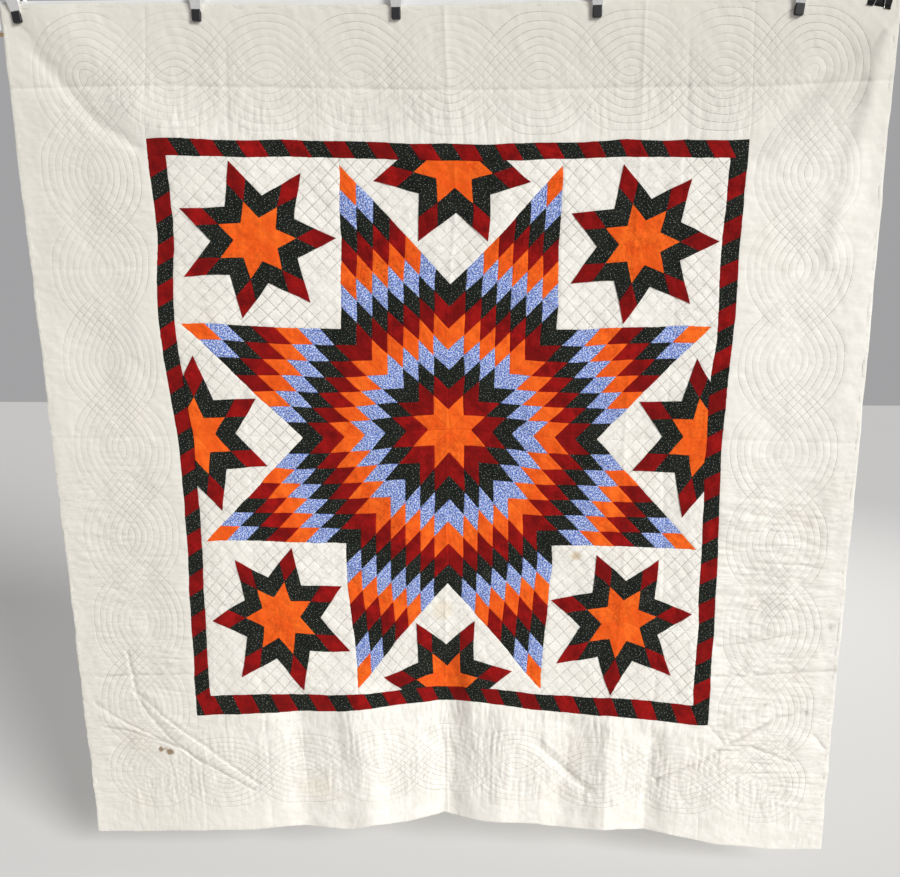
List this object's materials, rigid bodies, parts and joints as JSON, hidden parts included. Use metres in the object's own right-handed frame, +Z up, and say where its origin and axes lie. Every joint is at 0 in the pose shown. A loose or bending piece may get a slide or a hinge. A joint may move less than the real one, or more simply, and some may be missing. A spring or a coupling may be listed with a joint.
{
  "type": "quilt on a clamp rail",
  "caption": "Pieced star quilt with a slanted-patch frame and wide borders, hung by its top edge from a wall rail with spring clamps and a binder clip.",
  "frame": {"origin": "on the wall plane, at the centre of the rail's four outer wall screws", "axes": "+X along the rail to the viewer's right, +Y into the wall, +Z up; the quilt faces -Y"},
  "size_m": [2.24, 0.1366, 2.1714],
  "materials": {
    "muslin_white": "woven cotton muslin, matt, finely slubbed",
    "cotton_orange": "plain orange cotton, matt",
    "cotton_red": "deep red cotton, matt",
    "cotton_dark_green": "near-black green cotton with tiny pale specks",
    "cotton_blue": "light blue cotton with a fine mottled print",
    "batting": "soft cotton wadding",
    "backing": "plain unbleached muslin",
    "binding": "folded cotton strip",
    "rail_paint": "white satin paint over wood",
    "spacer_wood": "sanded pine, bare",
    "screw_steel": "zinc-plated steel",
    "lever_nickel": "nickel-plated pressed steel",
    "rivet_steel": "nickel-plated rivet",
    "spring_steel": "bright spring wire",
    "vinyl_black": "dipped soft vinyl, satin",
    "binder_black": "black enamel on spring steel",
    "handle_nickel": "nickel-plated wire"
  },
  "bodies": {
    "rack": {"star_orange_patches": "cotton_orange", "star_red_patches": "cotton_red", "star_dark_patches": "cotton_dark_green", "star_blue_patches": "cotton_blue", "applique_orange_patches": "cotton_orange", "applique_dark_patches": "cotton_dark_green", "applique_red_patches": "cotton_red", "frame_red_patches": "cotton_red", "frame_dark_patches": "cotton_dark_green", "setting_squares": "muslin_white", "setting_triangles": "muslin_white", "border_top": "muslin_white", "border_bottom": "muslin_white", "border_left": "muslin_white", "border_right": "muslin_white", "batting": "batting", "backing": "backing", "binding": "binding", "rail": "rail_paint", "spacers": "spacer_wood", "wall_screws": "screw_steel", "clamp_1_rear_lever": "lever_nickel", "clamp_1_rear_tip": "vinyl_black", "clamp_1_rear_grip": "vinyl_black", "clamp_1_spring": "spring_steel", "clamp_2_rear_lever": "lever_nickel", "clamp_2_rear_tip": "vinyl_black", "clamp_2_rear_grip": "vinyl_black", "clamp_2_spring": "spring_steel", "clamp_3_rear_lever": "lever_nickel", "clamp_3_rear_tip": "vinyl_black", "clamp_3_rear_grip": "vinyl_black", "clamp_3_spring": "spring_steel", "clamp_4_rear_lever": "lever_nickel", "clamp_4_rear_tip": "vinyl_black", "clamp_4_rear_grip": "vinyl_black", "clamp_4_spring": "spring_steel", "clamp_5_rear_lever": "lever_nickel", "clamp_5_rear_tip": "vinyl_black", "clamp_5_rear_grip": "vinyl_black", "clamp_5_spring": "spring_steel", "clamp_rivets": "rivet_steel", "binder_body": "binder_black"},
    "clamp_1_lever": {"clamp_1_front_lever": "lever_nickel", "clamp_1_front_tip": "vinyl_black", "clamp_1_front_grip": "vinyl_black"},
    "clamp_2_lever": {"clamp_2_front_lever": "lever_nickel", "clamp_2_front_tip": "vinyl_black", "clamp_2_front_grip": "vinyl_black"},
    "clamp_3_lever": {"clamp_3_front_lever": "lever_nickel", "clamp_3_front_tip": "vinyl_black", "clamp_3_front_grip": "vinyl_black"},
    "clamp_4_lever": {"clamp_4_front_lever": "lever_nickel", "clamp_4_front_tip": "vinyl_black", "clamp_4_front_grip": "vinyl_black"},
    "clamp_5_lever": {"clamp_5_front_lever": "lever_nickel", "clamp_5_front_tip": "vinyl_black", "clamp_5_front_grip": "vinyl_black"},
    "binder_front_handle": {"binder_front_handle": "handle_nickel"},
    "binder_rear_handle": {"binder_rear_handle": "handle_nickel"}
  },
  "joints": [
    {"name": "clamp_1_open", "type": "hinge", "parent": "rack", "child": "clamp_1_lever", "pos_m": [-0.95451, -0.05025, 0.04241], "axis": [-0.9877, 0, -0.1564], "range_deg": [0, 24], "stiffness_Nm_per_rad": 1.6, "springref_deg": -51.57, "deforming": ["clamp_1_spring"]},
    {"name": "clamp_2_open", "type": "hinge", "parent": "rack", "child": "clamp_2_lever", "pos_m": [-0.54816, -0.05025, 0.04299], "axis": [-0.9998, 0, 0.0175], "range_deg": [0, 24], "stiffness_Nm_per_rad": 1.6, "springref_deg": -51.57, "deforming": ["clamp_2_spring"]},
    {"name": "clamp_3_open", "type": "hinge", "parent": "rack", "child": "clamp_3_lever", "pos_m": [-0.112, -0.05025, 0.043], "axis": [-1, 0, 0], "range_deg": [0, 24], "stiffness_Nm_per_rad": 1.6, "springref_deg": -51.57, "deforming": ["clamp_3_spring"]},
    {"name": "clamp_4_open", "type": "hinge", "parent": "rack", "child": "clamp_4_lever", "pos_m": [0.32116, -0.05025, 0.04299], "axis": [-0.9998, 0, -0.0175], "range_deg": [0, 24], "stiffness_Nm_per_rad": 1.6, "springref_deg": -51.57, "deforming": ["clamp_4_spring"]},
    {"name": "clamp_5_open", "type": "hinge", "parent": "rack", "child": "clamp_5_lever", "pos_m": [0.75518, -0.05025, 0.04282], "axis": [-0.9962, 0, 0.0872], "range_deg": [0, 24], "stiffness_Nm_per_rad": 1.6, "springref_deg": -51.57, "deforming": ["clamp_5_spring"]},
    {"name": "binder_front_handle_turn", "type": "hinge", "parent": "rack", "child": "binder_front_handle", "pos_m": [0.919, -0.06435, 0], "axis": [0.9806, 0, -0.1959], "range_deg": [0, 165]},
    {"name": "binder_rear_handle_turn", "type": "hinge", "parent": "rack", "child": "binder_rear_handle", "pos_m": [0.919, -0.03615, 0], "axis": [-0.9806, 0, 0.1959], "range_deg": [0, 32]}
  ]
}
